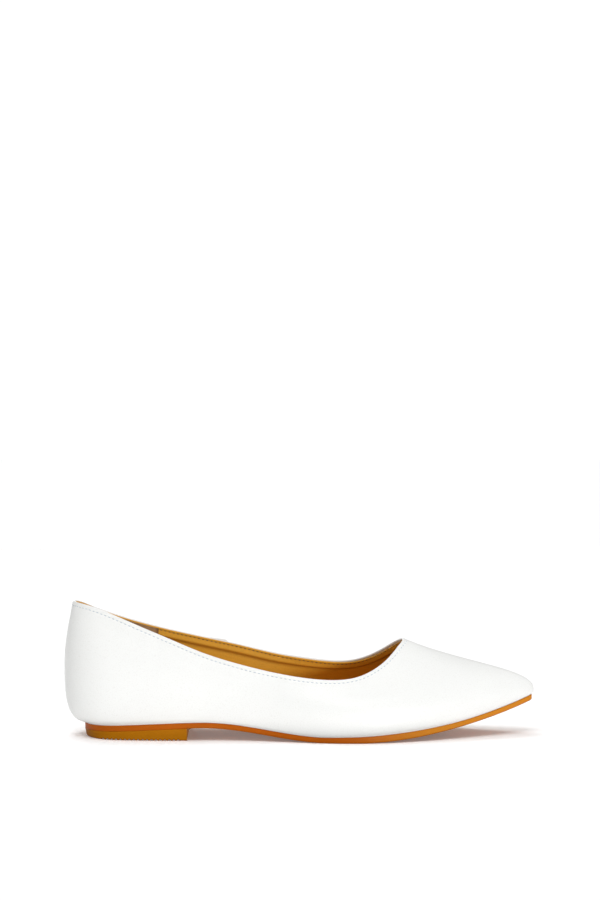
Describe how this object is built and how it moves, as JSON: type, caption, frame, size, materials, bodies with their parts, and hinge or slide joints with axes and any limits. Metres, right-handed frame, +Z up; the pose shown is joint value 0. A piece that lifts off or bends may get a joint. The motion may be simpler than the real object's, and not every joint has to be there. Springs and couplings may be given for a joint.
{
  "type": "pointed toe flat shoe",
  "caption": "Slip-on shoe for the right foot with a pointed toe, a low-cut upper, a thin curved sole and a low heel block with ribs along its foot.",
  "frame": {"origin": "on the floor, under the middle of the shoe's box", "axes": "+X towards the toe, +Y towards the inner side of the foot, +Z up"},
  "size_m": [0.258, 0.0782, 0.0729],
  "materials": {
    "upper_leather": "smooth white leather outside, tan lining inside",
    "insole_leather": "smooth tan leather over thin foam",
    "sole_rubber": "smooth orange tan, satin",
    "heel_rubber": "ribbed golden tan, satin"
  },
  "bodies": {
    "root": {"upper": "upper_leather", "insole": "insole_leather", "outsole": "sole_rubber", "heel": "heel_rubber"}
  },
  "joints": []
}
